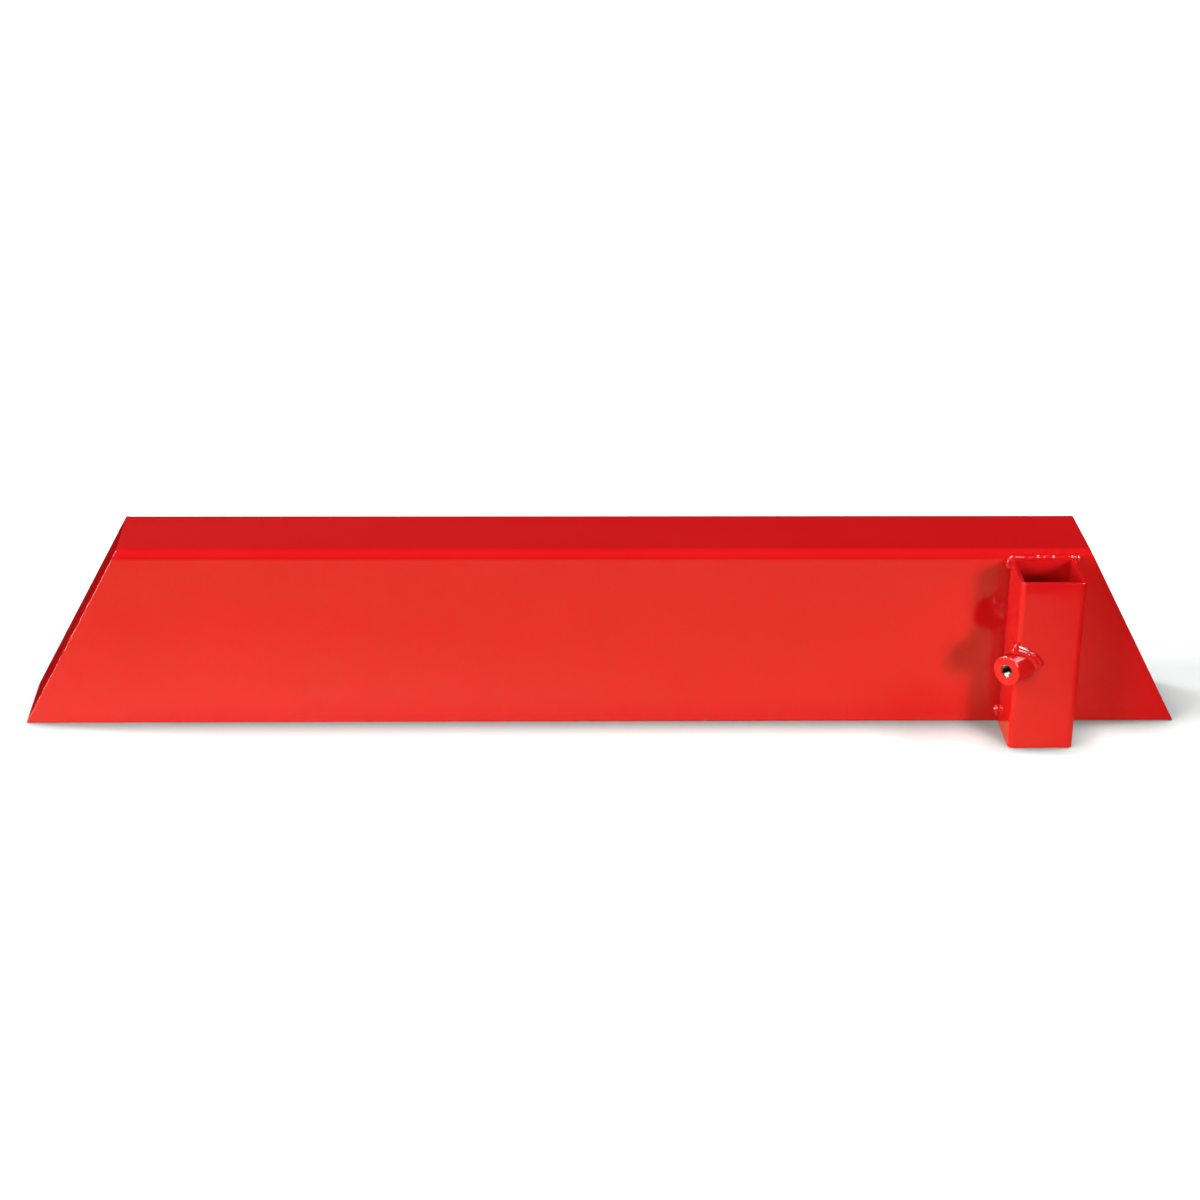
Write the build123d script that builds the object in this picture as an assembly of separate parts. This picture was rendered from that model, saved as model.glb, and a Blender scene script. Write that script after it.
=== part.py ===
"""Formed steel float blade with closed ends, a square handle socket and a corner clamp boss.

Built in millimetres, +Z up, standing on its cutting edge. X runs along the blade and +Y points
from the working face to the open back. The origin is the bottom centre of the bounding box.
Every sub-part is written to parts/NODE.step.
"""

import os
from math import cos, radians, sin, sqrt, tan

from build123d import *

# ---- driving dimensions (mm) ----------------------------------------------------------------
LENGTH = 914.4  # cutting edge, corner to corner
HEIGHT = 146.05  # cutting edge to the top of the flange
DEPTH = 76.2  # front of the face to the back edge of the flange
SHEET = 3.175  # sheet of the blade and of the end plates
BEND_INSIDE = 4.0  # inside radius of the bend between face and flange
END_ANGLE = 28.2  # lean of the end planes from the vertical, degrees
EDGE_ROUND = 0.5  # coated sheet edges

SOCKET_X = 341.3  # socket axis from the middle of the blade
SOCKET_SIDE = 50.8  # outside width of the square tube
SOCKET_WALL = 3.175
SOCKET_CORNER = 4.5  # outside corner radius of the tube
SOCKET_HEIGHT = 139.7

BOSS_DIAMETER = 23.8
BOSS_PROUD = 11.3  # boss face in front of the tube's sharp corner, along the boss axis
BOSS_Z = SOCKET_HEIGHT / 2
BOSS_RIM = 0.8  # rounding of the boss face's rim
THREAD_MAJOR = 9.525  # 3/8 in thread, drawn as a plain bore of its major diameter
MOUTH_CHAMFER = 0.4

SCREW_CLEARANCE = 0.06  # radial, between screw and bore
SCREW_LENGTH = 9.525
SCREW_HEX = 4.7625  # key size across flats
SCREW_HEX_DEPTH = 4.8
SCREW_TIP_REST = 4.8  # screw tip behind the tube's sharp corner when backed off
SCREW_END_CHAMFER = 1.0
SCREW_CUP = 5.0  # diameter of the cup in the tip

BOSS_WELD_LEG = 5.5
BEAD_ROUNDING = 0.9  # rounding of a bead's ends, as a part of its radius
SIDE_WELD_RADIUS = 4.6  # stitches in the grooves beside the socket
SIDE_WELD_FORWARD = 1.0  # their axis in front of the working face
SIDE_WELD_START = 5.1  # their axis begins this far above the cutting edge
SIDE_WELD_END = 12.0
GROOVE_FILL = 2.5  # how far a stitch runs into the groove behind the tube's rounded corner
TOP_WELD_RADIUS = 2.8  # bead over the socket's back wall
TOP_WELD_FORWARD = 0.5  # its axis in front of the working face
TOP_WELD_RISE = 0.6  # its axis above the tube's end
TOP_WELD_PAST = 2.0  # how far its axis runs on past the tube's right side
CORNER_WELD_RADIUS = 3.4  # where the same bead turns down beside the tube's back corners
CORNER_WELD_TOP = 1.0  # below the tube's end
CORNER_WELD_FOOT = 6.0
END_WELD_LEG = 4.0
END_STITCHES = [(12.0, 32.0), (104.0, 32.0)]  # start up the end plate, length
FLANGE_STITCH = (25.4, 38.1)  # start behind the working face, length

# ---- worked out from them -------------------------------------------------------------------
LEAN = radians(END_ANGLE)
SHEET_ALONG_X = SHEET / cos(LEAN)  # an end plate's thickness measured along X
BEND_OUTSIDE = BEND_INSIDE + SHEET
BOSS_RADIUS = BOSS_DIAMETER / 2
RIM_CUT = BOSS_RIM * (2 - sqrt(2))  # what the rounding takes off the boss's reach
BOSS_REACH = (BOSS_PROUD + BOSS_RADIUS - RIM_CUT) * sqrt(0.5)  # in front of the socket
FACE_Y = (SOCKET_SIDE + BOSS_REACH - DEPTH) / 2  # working face, with the box centred on Y = 0
BACK_Y = FACE_Y + DEPTH
SOCKET_Y = FACE_Y - SOCKET_SIDE / 2
SOCKET_LEFT = SOCKET_X - SOCKET_SIDE / 2
SOCKET_RIGHT = SOCKET_X + SOCKET_SIDE / 2
OVER = 20.0  # how far cutting solids run past what they cut

# Its origin is the tube's front left corner before rounding, at the height of the boss, and its
# Z axis points out along the boss, so places behind the corner are negative.
BOSS_PLANE = Plane(
    origin=(SOCKET_LEFT, FACE_Y - SOCKET_SIDE, BOSS_Z), x_dir=(0, 0, 1), z_dir=(-1, -1, 0)
)


def half_length(height):
    """Half the outside length of the blade at a height above the cutting edge."""
    return LENGTH / 2 - height * tan(LEAN)


def flat_face(points):
    """Closed face through points given as (y, z) in the plane of the blade's section."""
    return Plane.YZ * make_face(Polyline(*points, close=True))


def along_blade(face):
    return extrude(face, LENGTH, dir=(1, 0, 0), both=True)


def rounded(face, y, z, radius):
    """Round the corner of a section face that lies at (y, z)."""
    corner = face.vertices().sort_by_distance((0, y, z))[0]
    return fillet(corner, radius)


def between_ends(inset):
    """Everything between the two leaning end planes, each moved inwards along X by inset."""
    low = half_length(-OVER) - inset
    high = half_length(HEIGHT + OVER) - inset
    top = HEIGHT + OVER
    outline = Polyline((-low, -OVER), (low, -OVER), (high, top), (-high, top), close=True)
    return extrude(Plane.XZ * make_face(outline), LENGTH, both=True)


def blade_plate():
    """Face and top flange, one sheet bent through a right angle, cut to fit between the ends."""
    inner_y = FACE_Y + SHEET
    inner_z = HEIGHT - SHEET
    section = flat_face(
        [
            (FACE_Y, 0),
            (inner_y, 0),
            (inner_y, inner_z),
            (BACK_Y, inner_z),
            (BACK_Y, HEIGHT),
            (FACE_Y, HEIGHT),
        ]
    )
    section = rounded(section, FACE_Y, HEIGHT, BEND_OUTSIDE)
    section = rounded(section, inner_y, inner_z, BEND_INSIDE)
    for y, z in [(FACE_Y, 0), (inner_y, 0), (BACK_Y, inner_z), (BACK_Y, HEIGHT)]:
        section = rounded(section, y, z, EDGE_ROUND)
    return along_blade(section) & between_ends(SHEET_ALONG_X)


def end_plate(side):
    """Plate that closes one end; side is -1 for the left end and 1 for the right."""
    section = flat_face([(FACE_Y, 0), (BACK_Y, 0), (BACK_Y, HEIGHT), (FACE_Y, HEIGHT)])
    section = rounded(section, FACE_Y, HEIGHT, BEND_OUTSIDE)
    half = Pos(side * LENGTH, 0, 0) * Box(2 * LENGTH, LENGTH, 4 * HEIGHT)
    plate = along_blade(section) & half & (between_ends(0) - between_ends(SHEET_ALONG_X))
    outward = Vector(side * cos(LEAN), 0, sin(LEAN))
    outer_face = plate.faces().sort_by(Axis((0, 0, 0), outward))[-1]
    return fillet(outer_face.edges(), EDGE_ROUND)


def tube_outside():
    """The socket tube as a filled bar."""
    outline = RectangleRounded(SOCKET_SIDE, SOCKET_SIDE, SOCKET_CORNER)
    return extrude(Pos(SOCKET_X, SOCKET_Y, 0) * outline, SOCKET_HEIGHT)


def boss_cylinder(radius, start, end):
    """Cylinder on the boss axis from start to end, both measured outwards from the corner."""
    return BOSS_PLANE * Pos(0, 0, start) * extrude(Circle(radius), end - start)


def thread_bore():
    """Bore from outside the boss to the middle of the socket, flared at its mouth."""
    radius = THREAD_MAJOR / 2
    bore = boss_cylinder(radius, -SOCKET_SIDE / 2, BOSS_PROUD + OVER)
    flare = Cone(radius, radius + MOUTH_CHAMFER, MOUTH_CHAMFER)
    return bore + BOSS_PLANE * Pos(0, 0, BOSS_PROUD - MOUTH_CHAMFER / 2) * flare


def socket_tube():
    """Square tube, open at both ends, cross-drilled at one corner for the clamp screw."""
    inside = SOCKET_SIDE - 2 * SOCKET_WALL
    outline = RectangleRounded(inside, inside, SOCKET_CORNER - SOCKET_WALL)
    tube = tube_outside() - extrude(Pos(SOCKET_X, SOCKET_Y, 0) * outline, SOCKET_HEIGHT)
    ends = tube.edges().group_by(Axis.Z)
    return fillet(ends[0] + ends[-1], EDGE_ROUND) - thread_bore()


def clamp_boss():
    """Round boss, coped to sit over the tube's corner and tapped through."""
    blank = boss_cylinder(BOSS_RADIUS, -SOCKET_SIDE / 2, BOSS_PROUD)
    rim = blank.edges().filter_by(GeomType.CIRCLE).sort_by(Axis.Y)[0]
    return fillet(rim, BOSS_RIM) - tube_outside() - thread_bore()


def clamp_screw():
    """Headless socket screw, backed off; its thread is drawn as a plain cylinder."""
    head = SCREW_LENGTH - SCREW_TIP_REST
    body = boss_cylinder(THREAD_MAJOR / 2 - SCREW_CLEARANCE, -SCREW_TIP_REST, head)
    body = chamfer(body.edges().filter_by(GeomType.CIRCLE), SCREW_END_CHAMFER)
    hexagon = RegularPolygon(SCREW_HEX / 2, 6, major_radius=False)
    key_hole = BOSS_PLANE * Pos(0, 0, head) * extrude(hexagon, -SCREW_HEX_DEPTH)
    cup_depth = SCREW_CUP / 4
    cup = Cone(SCREW_CUP / 2, SCREW_CUP / 4, cup_depth)
    return body - key_hole - BOSS_PLANE * Pos(0, 0, cup_depth / 2 - SCREW_TIP_REST) * cup


def bead(start, end, radius):
    """Straight bead with rounded ends, one radius longer than start to end at each end."""
    axis = Vector(*end) - Vector(*start)
    tip = Vector(*start) - axis.normalized() * radius
    rod = extrude(Plane(origin=tip, z_dir=axis) * Circle(radius), axis.length + 2 * radius)
    return fillet(rod.edges().filter_by(GeomType.CIRCLE), radius * BEAD_ROUNDING)


def socket_weld_top():
    """Bead over the socket's back wall, turned down a little way beside both its corners."""
    y = FACE_Y - TOP_WELD_FORWARD
    z = SOCKET_HEIGHT + TOP_WELD_RISE
    run = bead((SOCKET_LEFT, y, z), (SOCKET_RIGHT + TOP_WELD_PAST, y, z), TOP_WELD_RADIUS)
    for x in (SOCKET_LEFT, SOCKET_RIGHT):
        low = (x, y, SOCKET_HEIGHT - CORNER_WELD_FOOT)
        high = (x, y, SOCKET_HEIGHT - CORNER_WELD_TOP)
        run += bead(low, high, CORNER_WELD_RADIUS)
    return run


def socket_weld_low(x):
    """Stitch in the groove beside the socket, a little above the cutting edge."""
    low = (x, FACE_Y - SIDE_WELD_FORWARD, SIDE_WELD_START)
    high = (x, FACE_Y - SIDE_WELD_FORWARD, SIDE_WELD_END)
    behind_face = Pos(x, FACE_Y + OVER / 2, 0) * Box(OVER, OVER, OVER * 4)
    bare_width = SOCKET_SIDE - 2 * GROOVE_FILL
    groove_bottom = Pos(SOCKET_X, FACE_Y, 0) * Box(bare_width, OVER, OVER * 4)
    return bead(low, high, SIDE_WELD_RADIUS) - behind_face - groove_bottom


def boss_weld():
    """Fillet weld all round the foot of the boss."""
    leg = BOSS_WELD_LEG
    side = SOCKET_SIDE + 2 * leg
    skirt = extrude(
        Pos(SOCKET_X, SOCKET_Y, 0) * RectangleRounded(side, side, SOCKET_CORNER + leg),
        SOCKET_HEIGHT,
    )
    ring = boss_cylinder(BOSS_RADIUS + leg, -SOCKET_SIDE / 2, BOSS_PROUD) & skirt
    return ring - boss_cylinder(BOSS_RADIUS, -SOCKET_SIDE, BOSS_PROUD + OVER) - tube_outside()


def end_weld():
    """Stitches inside the right-hand end, between the end plate, the face and the flange."""
    down = Vector(sin(LEAN), 0, -cos(LEAN))
    foot = Vector(half_length(0) - SHEET_ALONG_X, FACE_Y + SHEET, 0)
    triangle = make_face(Polyline((0, 0), (END_WELD_LEG, 0), (0, END_WELD_LEG), close=True))
    stitches = []
    for start, length in END_STITCHES:
        plane = Plane(origin=foot - down * start, x_dir=(0, 1, 0), z_dir=-down)
        stitches.append(extrude(plane * triangle, length))
    corner = foot - down * ((HEIGHT - SHEET) / cos(LEAN))
    points = [corner, corner - Vector(END_WELD_LEG, 0, 0), corner + down * END_WELD_LEG]
    under_flange = make_face(Polyline(*points, close=True))
    start, length = FLANGE_STITCH
    under_flange = under_flange.translate(Vector(0, start - SHEET, 0))
    stitches.append(extrude(under_flange, length, dir=(0, 1, 0)))
    return Compound(stitches)


def sub_parts():
    """Every node's name and shape."""
    blade = blade_plate()
    tube = tube_outside()
    right_weld = end_weld()
    return {
        "blade_plate": blade,
        "end_plate_left": end_plate(-1),
        "end_plate_right": end_plate(1),
        "socket_tube": socket_tube(),
        "clamp_boss": clamp_boss(),
        "clamp_screw": clamp_screw(),
        "boss_weld": boss_weld(),
        "socket_weld_top": socket_weld_top() - blade - tube,
        "socket_weld_left": socket_weld_low(SOCKET_LEFT) - tube,
        "socket_weld_right": socket_weld_low(SOCKET_RIGHT) - tube,
        "end_weld_left": mirror(right_weld, about=Plane.YZ),
        "end_weld_right": right_weld,
    }


os.makedirs("parts", exist_ok=True)
for name, shape in sub_parts().items():
    export_step(shape, f"parts/{name}.step")
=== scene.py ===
"""Looks of the steel float blade: powder coat, weld beads, boss thread, clamp screw and studio.

Everything is in metres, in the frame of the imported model: +X along the blade towards the socket,
+Y from the working face to the open back, +Z up from the cutting edge.
"""

from math import cos, degrees, floor, pi, radians, sin, sqrt, tan

import bmesh
import bpy
from mathutils import Matrix, Vector, noise


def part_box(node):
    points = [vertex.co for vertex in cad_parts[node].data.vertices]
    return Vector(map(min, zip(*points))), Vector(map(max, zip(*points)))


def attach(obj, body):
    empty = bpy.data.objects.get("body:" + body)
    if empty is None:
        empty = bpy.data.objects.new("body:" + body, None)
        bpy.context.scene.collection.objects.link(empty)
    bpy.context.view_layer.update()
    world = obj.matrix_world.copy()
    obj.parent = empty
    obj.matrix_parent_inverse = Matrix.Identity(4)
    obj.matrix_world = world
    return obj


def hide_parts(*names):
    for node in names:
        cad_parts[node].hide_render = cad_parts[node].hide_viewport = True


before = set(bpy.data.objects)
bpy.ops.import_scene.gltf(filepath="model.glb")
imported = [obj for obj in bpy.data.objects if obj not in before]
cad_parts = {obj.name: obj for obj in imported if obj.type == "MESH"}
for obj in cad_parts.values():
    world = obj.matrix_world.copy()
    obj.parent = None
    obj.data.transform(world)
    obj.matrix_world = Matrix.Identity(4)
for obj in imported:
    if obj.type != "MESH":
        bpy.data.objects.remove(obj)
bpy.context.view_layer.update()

MM = 0.001

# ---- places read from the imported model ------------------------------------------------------
blade_low, blade_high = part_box("blade_plate")
tube_low, tube_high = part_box("socket_tube")
boss_low, boss_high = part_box("clamp_boss")
end_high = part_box("end_plate_right")[1]
SHEET = 3.175 * MM  # the tube's wall too
FACE_Y = blade_low.y
FLANGE_Z = blade_high.z
LEAN = radians(28.2)  # of the end plates
TUBE_ROUND = 4.5 * MM  # outside corner radius of the tube
TUBE_ROUND_INSIDE = TUBE_ROUND - SHEET
TUBE_CORNER = Vector((tube_low.x, tube_low.y, (boss_low.z + boss_high.z) / 2))
BOSS_RADIUS = (boss_high.z - boss_low.z) / 2
BOSS_FACE = 11.3 * MM  # boss face in front of the tube's sharp corner
BORE_RADIUS = 9.525 * MM / 2

BOSS_OUT = Vector((-1, -1, 0)).normalized()
BOSS_SIDE = Vector((1, -1, 0)).normalized()
UP = Vector((0, 0, 1))


# ---- meshes ---------------------------------------------------------------------------------
def new_mesh(name, points, faces, material, smooth=True):
    """New object from points and faces, in one material."""
    mesh = bpy.data.meshes.new(name)
    mesh.from_pydata([tuple(p) for p in points], [], faces)
    mesh.validate()
    mesh.materials.append(material)
    for polygon in mesh.polygons:
        polygon.use_smooth = smooth
    piece = bpy.data.objects.new(name, mesh)
    bpy.context.scene.collection.objects.link(piece)
    return piece


def merge_close(piece, distance=1e-6):
    """Joins points that lie on each other, and turns every face outwards."""
    work = bmesh.new()
    work.from_mesh(piece.data)
    bmesh.ops.remove_doubles(work, verts=work.verts, dist=distance)
    bmesh.ops.recalc_face_normals(work, faces=work.faces)
    work.to_mesh(piece.data)
    work.free()


def ring_faces(first, second, count):
    """Quads between two closed rings of count points that start at those indices."""
    quads = []
    for i in range(count):
        j = (i + 1) % count
        quads.append((first + i, first + j, second + j, second + i))
    return quads


def wave(place, size, seed=0.0):
    """Smooth noise from -1 to 1 that changes over about size metres."""
    return noise.noise(Vector(place) / size + Vector((seed, 1.7 * seed, 0.3)))


# ---- materials ------------------------------------------------------------------------------
def node_material(name):
    """New material with its nodes, links and Principled shader."""
    material = bpy.data.materials.new(name)
    material.use_nodes = True
    nodes = material.node_tree.nodes
    return material, nodes, material.node_tree.links, nodes["Principled BSDF"]


def object_place(nodes):
    """Coordinates in the object's own axes."""
    return nodes.new("ShaderNodeTexCoord").outputs["Object"]


def noise_value(nodes, links, place, scale, detail, roughness=0.5):
    """Noise from 0 to 1 over the object."""
    node = nodes.new("ShaderNodeTexNoise")
    node.inputs["Scale"].default_value = scale
    node.inputs["Detail"].default_value = detail
    node.inputs["Roughness"].default_value = roughness
    links.new(place, node.inputs["Vector"])
    return node.outputs["Fac"]


def mapped(nodes, links, value, source, result):
    """Value carried from one (low, high) span to another, and held at its ends."""
    node = nodes.new("ShaderNodeMapRange")
    for name, number in zip(("From Min", "From Max", "To Min", "To Max"), (*source, *result)):
        node.inputs[name].default_value = number
    links.new(value, node.inputs["Value"])
    return node.outputs["Result"]


def calculated(nodes, links, operation, first, second):
    """Result of a math node on two linked values."""
    node = nodes.new("ShaderNodeMath")
    node.operation = operation
    links.new(first, node.inputs[0])
    links.new(second, node.inputs[1])
    return node.outputs["Value"]


def colour_ramp(nodes, links, value, low, high):
    """Colour between two (position, colour) stops at a value."""
    node = nodes.new("ShaderNodeValToRGB")
    for stop, (position, colour) in zip(node.color_ramp.elements, (low, high)):
        stop.position = position
        stop.color = colour
    links.new(value, node.inputs["Fac"])
    return node.outputs["Color"]


def bump(nodes, links, height, distance, strength, below=None):
    """Normal of a relief, on top of another one if that is given."""
    node = nodes.new("ShaderNodeBump")
    node.inputs["Distance"].default_value = distance
    node.inputs["Strength"].default_value = strength
    links.new(height, node.inputs["Height"])
    if below is not None:
        links.new(below, node.inputs["Normal"])
    return node.outputs["Normal"]


def powder_coat():
    """Gloss red powder coat: fine orange peel on a slightly wavy sheet, with faint tones."""
    material, nodes, links, shader = node_material("red_powder_coat")
    place = object_place(nodes)
    tone = noise_value(nodes, links, place, scale=9.0, detail=3.0)
    dull, bright = (0.485, 0.0057, 0.0067, 1), (0.505, 0.0069, 0.0079, 1)
    colour = colour_ramp(nodes, links, tone, (0.3, dull), (0.7, bright))
    links.new(colour, shader.inputs["Base Color"])

    patches = noise_value(nodes, links, place, scale=30.0, detail=4.0, roughness=0.6)
    roughness = mapped(nodes, links, patches, source=(0.3, 0.7), result=(0.04, 0.075))
    links.new(roughness, shader.inputs["Roughness"])
    shader.inputs["Specular IOR Level"].default_value = 0.5

    waves = noise_value(nodes, links, place, scale=16.0, detail=1.0)
    wavy = bump(nodes, links, waves, distance=0.0006, strength=0.08)
    peel = noise_value(nodes, links, place, scale=650.0, detail=1.5)
    peeled = bump(nodes, links, peel, distance=0.00002, strength=0.6, below=wavy)
    links.new(peeled, shader.inputs["Normal"])
    return material


def metal(name, scale, dark, light, metallic, roughness):
    """Fine-grained metal: one noise sets its tone between two stops, its gloss and its relief."""
    material, nodes, links, shader = node_material(name)
    grain = noise_value(nodes, links, object_place(nodes), scale, detail=4.0, roughness=0.7)
    links.new(colour_ramp(nodes, links, grain, dark, light), shader.inputs["Base Color"])
    shader.inputs["Metallic"].default_value = metallic
    gloss = mapped(nodes, links, grain, source=(0.3, 0.7), result=roughness)
    links.new(gloss, shader.inputs["Roughness"])
    relief = bump(nodes, links, grain, distance=0.00002, strength=0.4)
    links.new(relief, shader.inputs["Normal"])
    return material


RED = powder_coat()
STEEL = metal(
    "bare_steel",
    scale=900.0,
    dark=(0.35, (0.09, 0.075, 0.065, 1)),
    light=(0.65, (0.33, 0.31, 0.28, 1)),
    metallic=1.0,
    roughness=(0.22, 0.4),
)
OXIDE = metal(
    "black_oxide_steel",
    scale=700.0,
    dark=(0.3, (0.018, 0.017, 0.017, 1)),
    light=(0.75, (0.060, 0.056, 0.052, 1)),
    metallic=0.8,
    roughness=(0.28, 0.45),
)

for node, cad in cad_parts.items():
    cad.data.materials.clear()
    cad.data.materials.append(OXIDE if node == "clamp_screw" else RED)


# ---- weld beads -----------------------------------------------------------------------------
RING = 32  # points round a bead
STEP = 0.3 * MM  # between rings along a bead
RIPPLE_PITCH = 2.4 * MM
RIPPLE_DEPTH = 0.10 * MM
SWELL = 0.15  # how much thicker and thinner a bead gets, as a part of its radius
SWELL_LENGTH = 4.5 * MM
WANDER = 0.35 * MM  # of a bead's centre line, sideways
WANDER_LENGTH = 7 * MM
WANDER_SEED = 5
BEAD_SEED = 3.1  # between the beads of one piece


def ripple(along):
    """Height of the solidified ripples, rounded crests with sharp valleys between them."""
    return RIPPLE_DEPTH * abs(sin(pi * along / RIPPLE_PITCH))


def smooth_path(controls):
    """Stations about STEP apart on a smooth curve through (place, outward) control pairs."""
    stations = []
    for i in range(len(controls) - 1):
        before = controls[max(i - 1, 0)]
        here, there = controls[i], controls[i + 1]
        after = controls[min(i + 2, len(controls) - 1)]
        count = max(2, round((there[0] - here[0]).length / STEP))
        for k in range(count):
            t = k / count
            place = Vector()
            weights = (
                (before[0], -t + 2 * t * t - t ** 3),
                (here[0], 2 - 5 * t * t + 3 * t ** 3),
                (there[0], t + 4 * t * t - 3 * t ** 3),
                (after[0], -t * t + t ** 3),
            )
            for point, weight in weights:
                place += point * (weight / 2)
            stations.append((place, here[1].lerp(there[1], t)))
    stations.append(controls[-1])
    return stations


def add_bead(points, faces, controls, radius, seed):
    """Adds a rippled bead with rounded ends to a mesh's points and faces."""
    stations = smooth_path(controls)
    lengths = [0.0]
    for i in range(1, len(stations)):
        lengths.append(lengths[-1] + (stations[i][0] - stations[i - 1][0]).length)
    whole = lengths[-1]
    start = len(points)
    for i, (place, outward) in enumerate(stations):
        after = stations[min(i + 1, len(stations) - 1)][0]
        before = stations[max(i - 1, 0)][0]
        tangent = (after - before).normalized()
        across = (outward - tangent * outward.dot(tangent)).normalized()
        side = tangent.cross(across)
        from_end = min(lengths[i], whole - lengths[i])
        end_share = max(0.0, 1 - from_end / radius)
        swell = 1 + SWELL * wave(place, SWELL_LENGTH, seed)
        size = radius * swell * sqrt(max(0.0, 1 - end_share * end_share))
        centre = place + side * (WANDER * wave(place, WANDER_LENGTH, seed + WANDER_SEED))
        for k in range(RING):
            angle = 2 * pi * k / RING
            lift = ripple(lengths[i] + 0.5 * radius * cos(angle)) * (1 - end_share)
            reach = size + lift
            points.append(centre + (across * cos(angle) + side * sin(angle)) * reach)
    for i in range(len(stations) - 1):
        faces += ring_faces(start + i * RING, start + (i + 1) * RING, RING)


def weld_from_mesh(name, points, faces, node):
    """Painted weld that stands for a weld node."""
    piece = new_mesh(name, points, faces, RED)
    merge_close(piece)
    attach(piece, "blade")
    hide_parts(node)


def weld_piece(name, beads, radius, node):
    """Weld of one or more beads of a radius, each given by its controls."""
    points, faces = [], []
    for i, controls in enumerate(beads):
        add_bead(points, faces, controls, radius, BEAD_SEED * i + len(name))
    weld_from_mesh(name, points, faces, node)


# ---- welds of the socket --------------------------------------------------------------------
CREST_LEFT = Vector((-1, -1, 0))
CREST_RIGHT = Vector((1, -1, 0))
CREST_UP = Vector((0, -0.6, 0.8))
TUBE_SIDES = {"left": (tube_low.x, CREST_LEFT), "right": (tube_high.x, CREST_RIGHT)}
TOP_BEAD_RADIUS = 2.9 * MM
STITCH_RADIUS = 4.3 * MM

# The bead over the socket's back wall: a side of the tube, millimetres to the right of that,
# in front of the working face and above the tube's end, and where the crest points.
TOP_BEAD = (
    ("left", -0.3, 0.5, -8.5, CREST_LEFT),
    ("left", -0.3, 0.5, -3.0, CREST_LEFT),
    ("left", 1.2, 0.5, 0.3, CREST_UP + CREST_LEFT * 0.5),
    ("left", 7.0, 0.6, 0.7, CREST_UP),
    ("left", 18.0, 0.5, 0.5, CREST_UP),
    ("right", -16.0, 0.5, 0.6, CREST_UP),
    ("right", -5.0, 0.6, 0.7, CREST_UP),
    ("right", 1.0, 0.5, 0.3, CREST_UP + CREST_RIGHT * 0.5),
    ("right", 4.0, 0.3, -1.8, CREST_UP + CREST_RIGHT),
)

# The stitch beside the socket: millimetres to the right of the tube's side, in front of the
# working face and above the cutting edge.
STITCH = ((0.0, 1.0, 4.6), (0.2, 1.1, 9.0), (0.0, 0.9, 15.6))


def socket_welds():
    """Bead over the socket's back wall, and a stitch low down on each side of the socket."""
    top_bead = []
    for side, right, forward, rise, crest in TOP_BEAD:
        x = TUBE_SIDES[side][0] + right * MM
        place = Vector((x, FACE_Y - forward * MM, tube_high.z + rise * MM))
        top_bead.append((place, crest))
    weld_piece("socket_weld_top_bead", [top_bead], TOP_BEAD_RADIUS, "socket_weld_top")
    for side, (x, crest) in TUBE_SIDES.items():
        stitch = []
        for right, forward, height in STITCH:
            place = Vector((x + right * MM, FACE_Y - forward * MM, height * MM))
            stitch.append((place, crest))
        node = f"socket_weld_{side}"
        weld_piece(f"{node}_bead", [stitch], STITCH_RADIUS, node)


# ---- welds inside the ends ------------------------------------------------------------------
END_BEAD_RADIUS = 3.0 * MM
END_BEAD_INSET = 0.9 * MM  # of a bead's centre line from the two plates
END_BEAD_BOW = 0.2 * MM
END_STITCHES = ((12 * MM, 44 * MM), (104 * MM, 136 * MM))  # up the end plate
FLANGE_STITCH = (25.4 * MM, 63.5 * MM)  # behind the working face


def end_weld(side, name, node):
    """Stitches inside one end: two up the face, one under the flange."""
    inwards = Vector((-side, 0, 0))
    up_plate = Vector((-side * sin(LEAN), 0, cos(LEAN)))
    foot_x = side * (end_high.x - SHEET / cos(LEAN) - END_BEAD_INSET)
    foot = Vector((foot_x, FACE_Y + SHEET + END_BEAD_INSET, 0))
    crest = inwards + Vector((0, 1, 0))
    beads = []
    for start, end in END_STITCHES:
        middle = foot + up_plate * ((start + end) / 2) + inwards * END_BEAD_BOW
        places = (foot + up_plate * start, middle, foot + up_plate * end)
        beads.append([(place, crest) for place in places])
    height = FLANGE_Z - SHEET - END_BEAD_INSET
    corner_x = foot_x - side * height * tan(LEAN)
    crest = inwards - UP
    first, last = (FACE_Y + place for place in FLANGE_STITCH)
    depths = (first, (first + last) / 2, last)
    beads.append([(Vector((corner_x, depth, height)), crest) for depth in depths])
    weld_piece(name, beads, END_BEAD_RADIUS, node)


# ---- boss weld ------------------------------------------------------------------------------
WELD_ANGLES = 260
WELD_ACROSS = 22
WELD_UNEVEN = 0.3 * MM
WELD_UNEVEN_LENGTH = 4 * MM
WELD_UNEVEN_SEED = 2.0
WELD_SINK = 0.1 * MM  # how far its two toes run into the steel
WELD_ROOT = 1.0 * MM  # closing line of its mesh, inside the boss
WELD_VALLEY = 0.3  # depth of the valley between the passes, as a part of the bulge
WELD_VALLEY_HALF = 0.14  # its half width, as a part of the way across
WELD_LEAD = 1.2 * MM  # of the ripples in the middle of the weld

# Weld legs round the boss, clockwise from straight up as seen from in front of its face:
# degrees, then millimetres out along the tube and up along the boss.
WELD_LEGS = (
    (0, 8.0, 5.4),
    (14, 5.7, 5.2),
    (35, 3.6, 4.6),
    (57, 3.4, 4.2),
    (78, 4.2, 3.6),
    (92, 1.7, 2.2),
    (110, 1.0, 1.3),
    (180, 1.1, 1.2),
    (268, 1.2, 1.6),
    (300, 3.0, 3.4),
    (335, 5.2, 4.8),
    (360, 8.0, 5.4),
)


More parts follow.
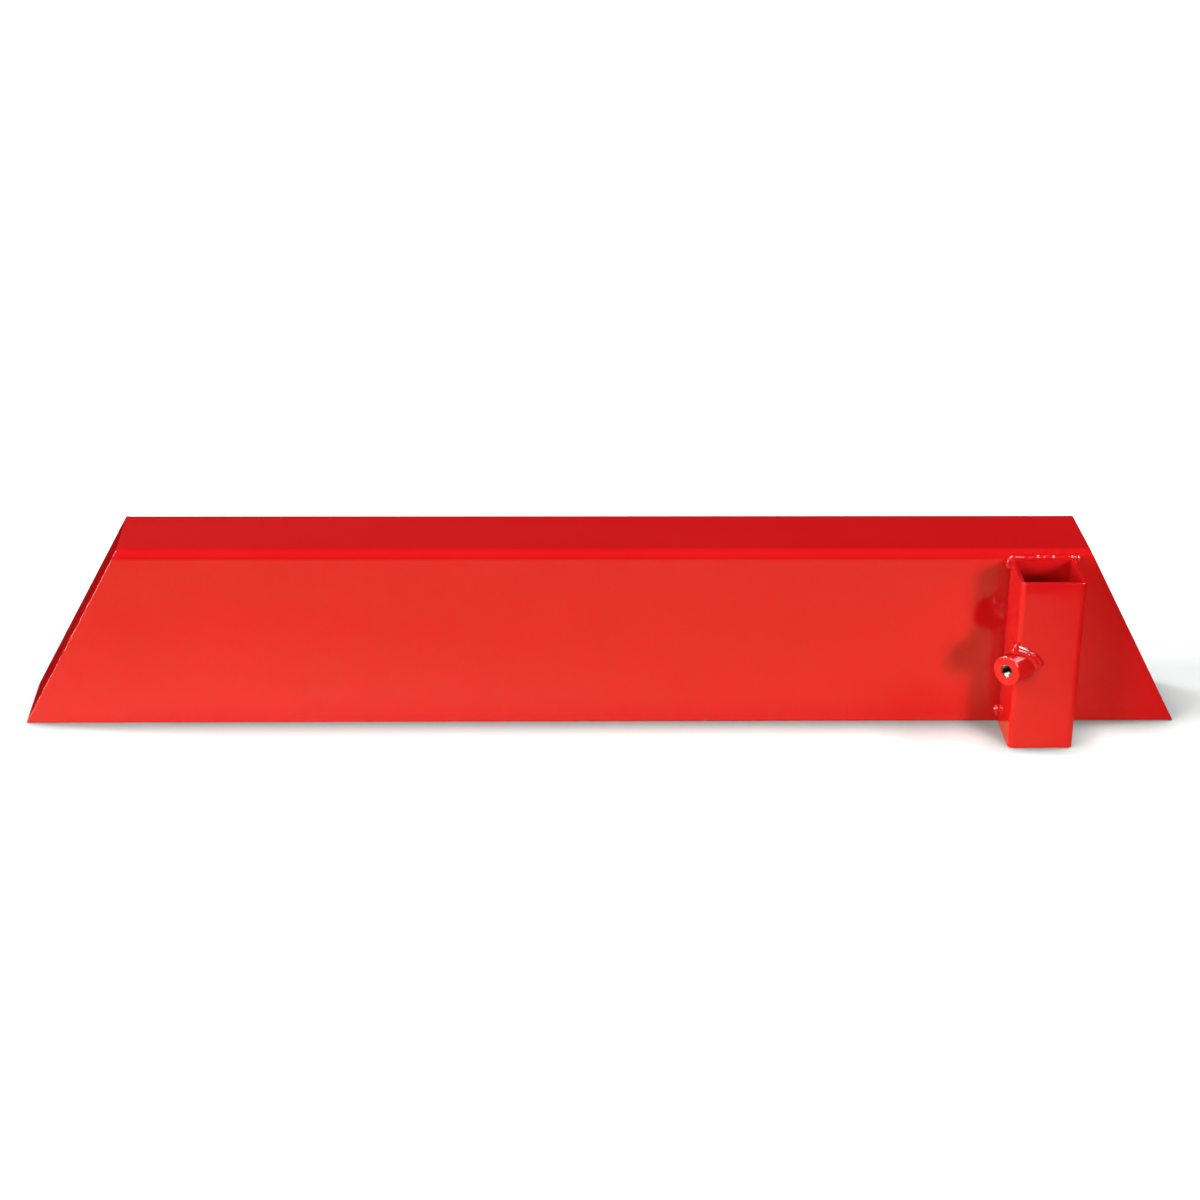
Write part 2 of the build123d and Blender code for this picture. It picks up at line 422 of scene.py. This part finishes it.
def corner_depth(offset, rounding, back):
    """Place of a rounded corner's surface along the boss axis, at a sideways offset."""
    offset = abs(offset)
    if offset < rounding * sqrt(0.5):
        return back - rounding * sqrt(2) + sqrt(rounding ** 2 - offset ** 2)
    return back - offset


def boss_point(angle, radius, along):
    """Point at an angle from straight up round the boss axis, and along it from the corner."""
    ray = UP * cos(angle) + BOSS_SIDE * sin(angle)
    return TUBE_CORNER + ray * radius + BOSS_OUT * along


def weld_legs(angle):
    """Legs of the boss weld on the tube and on the boss, at an angle round the boss."""
    turned = degrees(angle)
    for before, after in zip(WELD_LEGS, WELD_LEGS[1:]):
        if turned <= after[0]:
            share = (turned - before[0]) / (after[0] - before[0])
            on_tube = before[1] + (after[1] - before[1]) * share
            on_boss = before[2] + (after[2] - before[2]) * share
            return on_tube * MM, on_boss * MM


def boss_weld():
    """Fillet weld round the foot of the boss, bulging in two passes with a valley between."""
    points, faces = [], []
    for i in range(WELD_ANGLES):
        angle = 2 * pi * i / WELD_ANGLES
        leg_on_tube, leg_on_boss = weld_legs(angle)
        middle = boss_point(angle, BOSS_RADIUS, 0)
        uneven = WELD_UNEVEN * wave(middle, WELD_UNEVEN_LENGTH, WELD_UNEVEN_SEED)
        on_tube = BOSS_RADIUS + leg_on_tube + uneven
        root = corner_depth(BOSS_RADIUS * sin(angle), TUBE_ROUND, 0)
        toe_depth = corner_depth(on_tube * sin(angle), TUBE_ROUND, 0)
        first = Vector((BOSS_RADIUS - WELD_SINK, root + leg_on_boss - uneven))
        last = Vector((on_tube, toe_depth - WELD_SINK))
        chord = last - first
        out = Vector((-chord.y, chord.x)).normalized()
        if out.dot(Vector((1, 1))) < 0:
            out = -out
        arc = angle * (BOSS_RADIUS + 2 * MM)
        for k in range(WELD_ACROSS):
            t = k / (WELD_ACROSS - 1)
            in_valley = max(0.0, 1 - ((t - 0.5) / WELD_VALLEY_HALF) ** 2)
            lift = 0.5 * chord.length * sqrt(t * (1 - t)) * (1 - WELD_VALLEY * in_valley ** 2)
            lift += ripple(arc + WELD_LEAD * sin(pi * t)) * sin(pi * t)
            place = first + chord * t + out * lift
            points.append(boss_point(angle, place.x, place.y))
        points.append(boss_point(angle, BOSS_RADIUS - WELD_ROOT, root - WELD_ROOT))
    across = WELD_ACROSS + 1
    for i in range(WELD_ANGLES):
        j = (i + 1) % WELD_ANGLES
        faces += ring_faces(i * across, j * across, across)
    weld_from_mesh("boss_weld_bead", points, faces, "boss_weld")


# ---- thread and screw -----------------------------------------------------------------------
PITCH = 25.4 * MM / 16
THREAD_ANGLES = 96
THREAD_STEP = 0.07 * MM
THREAD_CUT = 0.15  # cut off the sharp V at its crest and at its root, in thread depths
THREAD_CREST = 3.97 * MM  # inner radius of the tapped thread
THREAD_ROOT = BORE_RADIUS - 0.04 * MM
THREAD_MOUTH = BOSS_FACE - 0.42 * MM
THREAD_BACK = 9 * MM  # about how far behind the tube's sharp corner it ends
SLEEVE_SINK = 0.05 * MM  # how far the thread's mesh runs into the steel

SCREW_CREST = 4.58 * MM
SCREW_ROOT = 3.74 * MM
SCREW_TIP = -4.8 * MM
SCREW_HEAD = SCREW_TIP + 9.525 * MM
SCREW_END_TAPER = 0.3 * MM  # how far the ends' cones start inside the thread's root
SCREW_FACE_RADIUS = 3.1 * MM
HEX_HALF = 4.7625 * MM / 2
HEX_DEPTH = 4.8 * MM
HEX_LIP = 0.12 * MM
CUP_RADIUS = 2.5 * MM
CUP_DEPTH = 1.25 * MM


def thread_share(angle, along):
    """0 at the thread's inner radius and 1 at its outer one, at a place on the helix."""
    turns = -along / PITCH - angle / (2 * pi)
    flank = abs(2 * (turns - floor(turns)) - 1)
    return min(1.0, max(0.0, (1 + 2 * THREAD_CUT) * flank - THREAD_CUT))


def lathe(rows):
    """Points and faces through rings, each a function from the angle to (radius, along)."""
    points, faces = [], []
    for row in rows:
        for k in range(THREAD_ANGLES):
            angle = 2 * pi * k / THREAD_ANGLES
            radius, along = row(angle)
            points.append(boss_point(angle, radius, along))
    for i in range(len(rows) - 1):
        faces += ring_faces(i * THREAD_ANGLES, (i + 1) * THREAD_ANGLES, THREAD_ANGLES)
    return points, faces


def plain_ring(radius, along):
    """Ring of one radius, for lathe."""
    return lambda angle: (radius, along)


def boss_thread():
    """Tapped thread through the boss and the tube's corner, as a thin sleeve in the bore."""
    outer = BORE_RADIUS + SLEEVE_SINK
    wall_back = -SHEET * sqrt(2)

    def end_depth(angle):
        offset = BORE_RADIUS * sin(angle)
        return corner_depth(offset, TUBE_ROUND_INSIDE, wall_back) + SLEEVE_SINK

    def inner_row(share):
        def row(angle):
            along = THREAD_MOUTH + (end_depth(angle) - THREAD_MOUTH) * share
            depth = thread_share(angle, along)
            return THREAD_CREST + (THREAD_ROOT - THREAD_CREST) * depth, along

        return row

    count = round((THREAD_MOUTH + THREAD_BACK) / THREAD_STEP)
    rows = [plain_ring(outer, THREAD_MOUTH)]
    rows += [inner_row(k / count) for k in range(count + 1)]
    rows += [lambda angle: (outer, end_depth(angle)), plain_ring(outer, THREAD_MOUTH)]
    points, faces = lathe(rows)
    piece = new_mesh("boss_thread", points, faces, STEEL)
    merge_close(piece)
    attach(piece, "blade")


def hex_radius(angle):
    """Distance from the screw's axis to the wall of its key hole."""
    sector = (angle + pi / 6) % (pi / 3) - pi / 6
    return HEX_HALF / cos(sector)


def clamp_screw():
    """Headless screw: threaded outside, hexagon key hole in front, cup in its tip."""
    tip, head = SCREW_TIP, SCREW_HEAD
    count = round((head - tip) / THREAD_STEP)

    def hexagon(wider, along):
        return lambda angle: (hex_radius(angle) + wider, along)

    def outside_row(share):
        along = tip + (head - tip) * share
        end_limit = SCREW_ROOT - SCREW_END_TAPER + min(along - tip, head - along)

        def row(angle):
            radius = SCREW_ROOT + (SCREW_CREST - SCREW_ROOT) * thread_share(angle, along)
            return min(radius, end_limit), along

        return row

    rows = [
        plain_ring(0.0, tip + CUP_DEPTH),
        plain_ring(CUP_RADIUS * 0.5, tip + CUP_DEPTH * 0.9),
        plain_ring(CUP_RADIUS, tip + 0.1 * MM),
        plain_ring(CUP_RADIUS + 0.15 * MM, tip),
    ]
    rows += [outside_row(k / count) for k in range(count + 1)]
    rows += [
        plain_ring(SCREW_FACE_RADIUS, head),
        hexagon(HEX_LIP, head - 0.02 * MM),
        hexagon(0.0, head - 0.16 * MM),
        hexagon(0.0, head - HEX_DEPTH),
        plain_ring(HEX_HALF * 0.9, head - HEX_DEPTH - 0.1 * MM),
        plain_ring(0.0, head - HEX_DEPTH - 0.9 * MM),
    ]
    points, faces = lathe(rows)
    piece = new_mesh("clamp_screw_threaded", points, faces, OXIDE)
    merge_close(piece)
    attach(piece, "screw")
    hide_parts("clamp_screw")


socket_welds()
end_weld(-1, "end_weld_left_beads", "end_weld_left")
end_weld(1, "end_weld_right_beads", "end_weld_right")
boss_weld()
boss_thread()
clamp_screw()


# ---- camera ---------------------------------------------------------------------------------
CAMERA_PLACE = Vector((-105.358, -2054.321, 967.111)) * MM
CAMERA_HEADING = radians(1.60)  # to the right of +Y
CAMERA_DOWN = radians(24.738)
CAMERA_ROLL = radians(0.542)
CAMERA_LENS = 85.364
CAMERA_SENSOR = 36.0
CAMERA_SHIFT = (0.04809, 0.08020)
CAMERA_CLIP = (0.05, 100.0)


def add_camera():
    """Camera that was fitted to the outline in the photo."""
    data = bpy.data.cameras.new("camera")
    data.lens = CAMERA_LENS
    data.sensor_width = CAMERA_SENSOR
    data.shift_x, data.shift_y = CAMERA_SHIFT
    data.clip_start, data.clip_end = CAMERA_CLIP
    camera = bpy.data.objects.new("camera", data)
    turn = Matrix.Rotation(-CAMERA_HEADING, 4, "Z")
    tilt = Matrix.Rotation(pi / 2 - CAMERA_DOWN, 4, "X")
    roll = Matrix.Rotation(CAMERA_ROLL, 4, "Z")
    camera.matrix_world = Matrix.Translation(CAMERA_PLACE) @ turn @ tilt @ roll
    bpy.context.scene.collection.objects.link(camera)
    bpy.context.scene.camera = camera


# ---- studio sheets --------------------------------------------------------------------------
BLACK = (0, 0, 0, 1)
GLOW_WHITE = (1, 1, 0.9, 1)

WARM_WHITE = (0.50, 0.43, 0.23, 1)  # dull cream table top
TABLE_LOW = (-0.9, -0.37)
TABLE_HIGH = (0.48, 0.1)
TABLE_DROP = 0.001  # below the object
TABLE_PAINTED_FADE = (0.35, 0.47)  # painted darkening: the table fades to black towards the right
TABLE_PAINTED_SHADOW = (-0.006, 0.0)  # painted shadow: black towards the back, where the blade's shadow falls
# Painted pool of light: the table glows in front of the blade's foot, fading out towards the right.
LIGHT_POOL_REACH = 0.2  # in front of the blade's foot
LIGHT_POOL_END = (-0.2, 0.25)  # towards the right
PAINTED_LIGHT_POOL_GLOW = 0.38

GROUND_WHITE = (0.70, 0.745, 0.745, 1)
GROUND_PAINTED_SHADOW_TINT = (0.53, 0.76, 0.76, 1)  # tint of the painted contact shadow, cyan to even out the red that the blade throws on it
GROUND_REACH = 30.0  # from the middle to each side
GROUND_DROP = 0.0002
CONTACT_REACH = 0.034
CONTACT_SHADE = 0.42
CONTACT_OPEN = (0.5, 1.0)  # open part of the sky, from deep in a corner to free
CONTACT_SAMPLES = 12
# Painted light: near the object the ground glows only at BACK_GLOW so the lamps' shadows show; past
# these ends it glows at FAR_GLOW, washing out the shadows left of the blade and farther off, and in
# front of the face's foot it glows at least at FRONT_GLOW, lightening the shadow there.
SHADOWS_END_LEFT = (-0.475, -0.45)
SHADOWS_END_RIGHT = (0.75, 0.55)
SHADOWS_END_FRONT = (-0.09, -0.06)
SHADOWS_END_BACK = (0.42, 0.1)
FOOT_OF_FACE = (-0.02, 0.01)
FAR_GLOW = 1.2
FRONT_GLOW = 0.32
BACK_GLOW = 0.08

WALL_CORNER = (-2.0, 3.0, 0.8)
WALL_WIDTH = 4.5
WALL_HEIGHT = 1.4
WALL_DIMS = (-1.0, 1.2)  # the painted reflection dims towards the right
WALL_GLOW = 0.05


def stage_sheet(name, corner, first_edge, second_edge, material):
    """Flat sheet of the studio from one corner and its two edges."""
    corner, first, second = Vector(corner), Vector(first_edge), Vector(second_edge)
    points = [corner, corner + first, corner + first + second, corner + second]
    sheet = new_mesh(name, points, [(0, 1, 2, 3)], material, False)
    return sheet


def paper(name, colour):
    """Matt paper; the glow is off until its strength is linked."""
    material, nodes, links, shader = node_material(name)
    shader.inputs["Base Color"].default_value = colour
    shader.inputs["Roughness"].default_value = 0.9
    shader.inputs["Specular IOR Level"].default_value = 0.0
    shader.inputs["Emission Color"].default_value = GLOW_WHITE
    shader.inputs["Emission Strength"].default_value = 0.0
    return material, nodes, links, shader


def object_axes(nodes, links):
    """The same coordinates, one output for each axis."""
    node = nodes.new("ShaderNodeSeparateXYZ")
    links.new(object_place(nodes), node.inputs["Vector"])
    return node.outputs


def table_with_painted_light():
    """Cream table top with a painted pool of light glowing along the foot of the blade's left half,
    a painted shadow behind that foot, and painted darkening towards its right.
    """
    material, nodes, links, shader = paper("table_with_painted_light", WARM_WHITE)
    axes = object_axes(nodes, links)
    # Painted darkening to black towards the right, and painted shadow behind the blade's foot.
    to_right = mapped(nodes, links, axes["X"], TABLE_PAINTED_FADE, (0.0, 1.0))
    behind = mapped(nodes, links, axes["Y"], TABLE_PAINTED_SHADOW, (0.0, 1.0))
    painted_dark = calculated(nodes, links, "MAXIMUM", to_right, behind)
    colour = colour_ramp(nodes, links, painted_dark, (0.0, WARM_WHITE), (1.0, BLACK))
    links.new(colour, shader.inputs["Base Color"])
    # Painted pool of light in front of the blade's foot, cut off in the painted shadow behind it.
    near = mapped(nodes, links, axes["Y"], (-LIGHT_POOL_REACH, 0.0), (0.0, PAINTED_LIGHT_POOL_GLOW))
    left = mapped(nodes, links, axes["X"], LIGHT_POOL_END, (1.0, 0.0))
    lit = mapped(nodes, links, axes["Y"], TABLE_PAINTED_SHADOW, (1.0, 0.0))
    painted_pool = calculated(nodes, links, "MULTIPLY", near, left)
    painted_pool = calculated(nodes, links, "MULTIPLY", painted_pool, lit)
    links.new(painted_pool, shader.inputs["Emission Strength"])
    return material


def ground_paper():
    """White ground that takes the lamps' shadows beside the object and glows white farther off,
    with a painted contact shadow darkening its colour and glow near the object and painted glow
    lightening the shadows in front of the blade's foot and past its left end.
    """
    material, nodes, links, shader = paper("ground_paper", GROUND_WHITE)
    # Painted contact shadow: ambient occlusion darkens the colour and the glow near the object.
    contact = nodes.new("ShaderNodeAmbientOcclusion")
    contact.inputs["Distance"].default_value = CONTACT_REACH
    contact.samples = CONTACT_SAMPLES
    openness = contact.outputs["AO"]
    shade = mapped(nodes, links, openness, CONTACT_OPEN, (CONTACT_SHADE, 1.0))
    near = [CONTACT_SHADE * value for value in GROUND_PAINTED_SHADOW_TINT]
    stops = zip(CONTACT_OPEN, (near, GROUND_WHITE))
    links.new(colour_ramp(nodes, links, openness, *stops), shader.inputs["Base Color"])
    # Painted glow: weak near the object so the lamps' shadows show, strong past the shadows' ends
    # and in front of the face's foot.
    axes = object_axes(nodes, links)
    glow = mapped(nodes, links, axes["X"], SHADOWS_END_LEFT, (FAR_GLOW, BACK_GLOW))
    limits = (
        ("X", SHADOWS_END_RIGHT, FAR_GLOW),
        ("Y", SHADOWS_END_FRONT, FAR_GLOW),
        ("Y", SHADOWS_END_BACK, FAR_GLOW),
        ("Y", FOOT_OF_FACE, FRONT_GLOW),
    )
    for axis, span, beyond in limits:
        side = mapped(nodes, links, axes[axis], span, (beyond, BACK_GLOW))
        glow = calculated(nodes, links, "MAXIMUM", glow, side)
    strength = calculated(nodes, links, "MULTIPLY", glow, shade)
    links.new(strength, shader.inputs["Emission Strength"])
    return material


def wall_with_painted_reflection():
    """Dim studio wall behind the object, a black sheet whose glow is a painted reflection, a little
    lighter at its left.
    """
    material, nodes, links, shader = paper("wall_with_painted_reflection", BLACK)
    glow = mapped(nodes, links, object_axes(nodes, links)["X"], WALL_DIMS, (WALL_GLOW, 0.0))
    links.new(glow, shader.inputs["Emission Strength"])
    return material


def add_sheets():
    """Lit table top with painted light and dim glowing wall that the object mirrors, and the ground
    with painted shadow and glow that the camera sees.
    """
    width, depth = TABLE_HIGH[0] - TABLE_LOW[0], TABLE_HIGH[1] - TABLE_LOW[1]
    corner = (*TABLE_LOW, -TABLE_DROP)
    stage_sheet("table", corner, (width, 0, 0), (0, depth, 0), table_with_painted_light())
    wall = stage_sheet(
        "wall", WALL_CORNER, (WALL_WIDTH, 0, 0), (0, 0, WALL_HEIGHT), wall_with_painted_reflection()
    )
    wall.visible_camera = False
    wall.visible_shadow = False
    corner = (-GROUND_REACH, -GROUND_REACH, -GROUND_DROP)
    edge = 2 * GROUND_REACH
    ground = stage_sheet("ground", corner, (edge, 0, 0), (0, edge, 0), ground_paper())
    ground.visible_glossy = False
    ground.visible_diffuse = False
    ground.visible_shadow = False


# ---- studio light ---------------------------------------------------------------------------
LAMP_AIM = (0, 0, 0.05)

# Name, place, width and height, and power in watts.
LAMPS = (
    ("left_box", (-3.0, -1.75, 2.4), (0.7, 0.7), 50),
    ("left_side_box", (-3.0, -0.2, 0.4), (0.5, 0.8), 80),
    ("left_top_box", (-1.7, 0.6, 2.6), (0.45, 0.45), 48),
    ("right_top_box", (1.9, 0.3, 2.6), (0.5, 0.5), 45),
    ("rim_strip", (2.6, 0.6, 1.2), (0.15, 0.9), 4),
)
NOT_MIRRORED = (
    ("left_low_box", (-2.4, -2.6, 1.2), (0.8, 0.8), 80),
    ("right_box", (1.75, -2.7, 0.8), (0.6, 0.6), 91),
    ("back_fill", (0.3, 3.0, 0.35), (1.6, 0.6), 75),
)
MIRRORED_ONLY = (
    ("left_strip", (-2.2, 0.7, 2.9), (0.5, 1.8), 170),
    ("right_strip", (2.3, 0.2, 2.9), (0.4, 1.0), 75),
    ("right_high_card", (2.0, -1.3, 1.9), (1.1, 1.1), 150),
    ("left_high_card", (-1.5, -1.2, 2.2), (0.8, 0.8), 80),
)


def area_light(name, place, size, power):
    """Rectangular lamp aimed at the middle of the blade."""
    data = bpy.data.lights.new(name, "AREA")
    data.shape = "RECTANGLE"
    data.size, data.size_y = size
    data.energy = power
    lamp = bpy.data.objects.new(name, data)
    lamp.location = place
    lamp.rotation_mode = "QUATERNION"
    lamp.rotation_quaternion = (Vector(LAMP_AIM) - Vector(place)).to_track_quat("-Z", "Y")
    bpy.context.scene.collection.objects.link(lamp)
    return lamp


def add_light():
    """A white backdrop that only the camera sees, and the lamps."""
    bpy.context.scene.view_settings.view_transform = "Standard"
    world = bpy.data.worlds.new("studio")
    world.use_nodes = True
    world.node_tree.nodes["Background"].inputs["Color"].default_value = (1, 1, 1, 1)
    world.node_tree.nodes["Background"].inputs["Strength"].default_value = 1.0
    bpy.context.scene.world = world
    world.cycles_visibility.glossy = False
    world.cycles_visibility.diffuse = False
    for lamp in LAMPS:
        area_light(*lamp)
    for lamp in NOT_MIRRORED:
        area_light(*lamp).visible_glossy = False
    for lamp in MIRRORED_ONLY:
        area_light(*lamp).visible_diffuse = False


add_camera()
add_sheets()
add_light()
